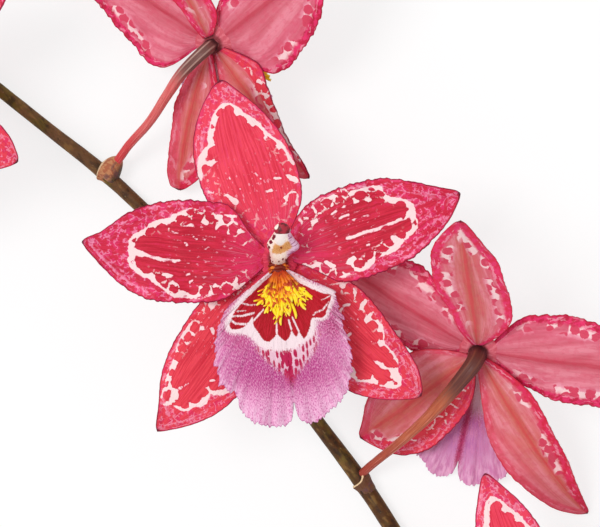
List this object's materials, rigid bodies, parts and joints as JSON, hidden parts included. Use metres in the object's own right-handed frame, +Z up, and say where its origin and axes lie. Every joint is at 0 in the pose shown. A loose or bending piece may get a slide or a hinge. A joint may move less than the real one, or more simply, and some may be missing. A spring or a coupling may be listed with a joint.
{
  "type": "cut odontoglossum orchid spray",
  "caption": "Cut orchid stem lying on a surface, with open flowers on curved stalks: patterned sepals and petals, frilled lip with fringed crest, short column.",
  "frame": {"origin": "on the surface that the spray lies on, under the middle of its outline seen from above", "axes": "+X along the stem from its cut end to its tip, +Z up from the surface, +Y to the left of the stem seen from above with its tip ahead"},
  "size_m": [0.278, 0.1293, 0.0486],
  "materials": {
    "stem": "smooth green-brown rind",
    "bract": "dry papery sheath",
    "pedicel": "waxy salmon red, darker at the ovary",
    "sepal": "satin red with a pale broken band and fine veins",
    "petal": "satin red with a pale broken band and fine veins",
    "lip": "velvety orchid pink with a dark red centre and yellow crest",
    "column": "waxy cream with dark red spots and cap"
  },
  "bodies": {
    "root": {"stem": "stem", "flower_1_dorsal_sepal": "sepal", "flower_1_left_petal": "petal", "flower_1_right_petal": "petal", "flower_1_left_sepal": "sepal", "flower_1_right_sepal": "sepal", "flower_1_lip": "lip", "flower_1_column": "column", "flower_1_pedicel": "pedicel", "flower_1_bract": "bract", "flower_2_dorsal_sepal": "sepal", "flower_2_left_petal": "petal", "flower_2_right_petal": "petal", "flower_2_left_sepal": "sepal", "flower_2_right_sepal": "sepal", "flower_2_lip": "lip", "flower_2_column": "column", "flower_2_pedicel": "pedicel", "flower_2_bract": "bract", "flower_3_dorsal_sepal": "sepal", "flower_3_left_petal": "petal", "flower_3_right_petal": "petal", "flower_3_left_sepal": "sepal", "flower_3_right_sepal": "sepal", "flower_3_lip": "lip", "flower_3_column": "column", "flower_3_pedicel": "pedicel", "flower_3_bract": "bract", "flower_4_dorsal_sepal": "sepal", "flower_4_left_petal": "petal", "flower_4_right_petal": "petal", "flower_4_left_sepal": "sepal", "flower_4_right_sepal": "sepal", "flower_4_lip": "lip", "flower_4_column": "column", "flower_4_pedicel": "pedicel", "flower_4_bract": "bract", "flower_5_dorsal_sepal": "sepal", "flower_5_left_petal": "petal", "flower_5_right_petal": "petal", "flower_5_left_sepal": "sepal", "flower_5_right_sepal": "sepal", "flower_5_lip": "lip", "flower_5_column": "column", "flower_5_pedicel": "pedicel", "flower_5_bract": "bract"}
  },
  "joints": []
}
